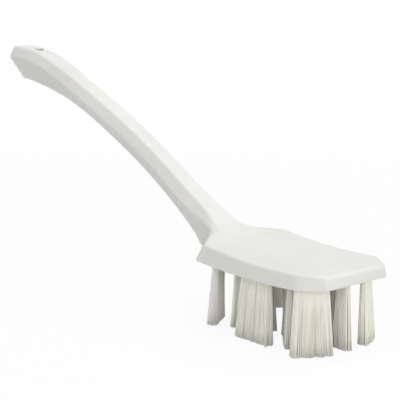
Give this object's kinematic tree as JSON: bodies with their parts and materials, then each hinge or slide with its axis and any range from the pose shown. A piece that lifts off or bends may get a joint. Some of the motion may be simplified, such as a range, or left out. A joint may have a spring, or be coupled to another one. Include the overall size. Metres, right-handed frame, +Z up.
{
  "type": "scrub brush",
  "caption": "Long-handled scrub brush in white plastic: a faceted handle bends down into a flat head with spaced bristle packs below it; hanging hole in the handle's end.",
  "frame": {"origin": "below the middle of the head, on the flat that the bristle tips stand on", "axes": "+X from the handle towards the front of the head, +Y to the left, +Z up from the tips to the head"},
  "size_m": [0.3957, 0.0842, 0.1829],
  "materials": {
    "moulding": "white polypropylene with a fine moulded texture",
    "bristles": "ivory polyester filaments"
  },
  "bodies": {
    "root": {"handle_and_head": "moulding", "front_bristle_pack": "bristles", "centre_bristle_pack": "bristles", "front_left_bristle_pack": "bristles", "front_right_bristle_pack": "bristles", "fore_left_bristle_pack": "bristles", "fore_right_bristle_pack": "bristles", "side_left_bristle_pack": "bristles", "side_right_bristle_pack": "bristles", "aft_left_bristle_pack": "bristles", "aft_right_bristle_pack": "bristles", "rear_left_bristle_pack": "bristles", "rear_right_bristle_pack": "bristles"}
  },
  "joints": []
}
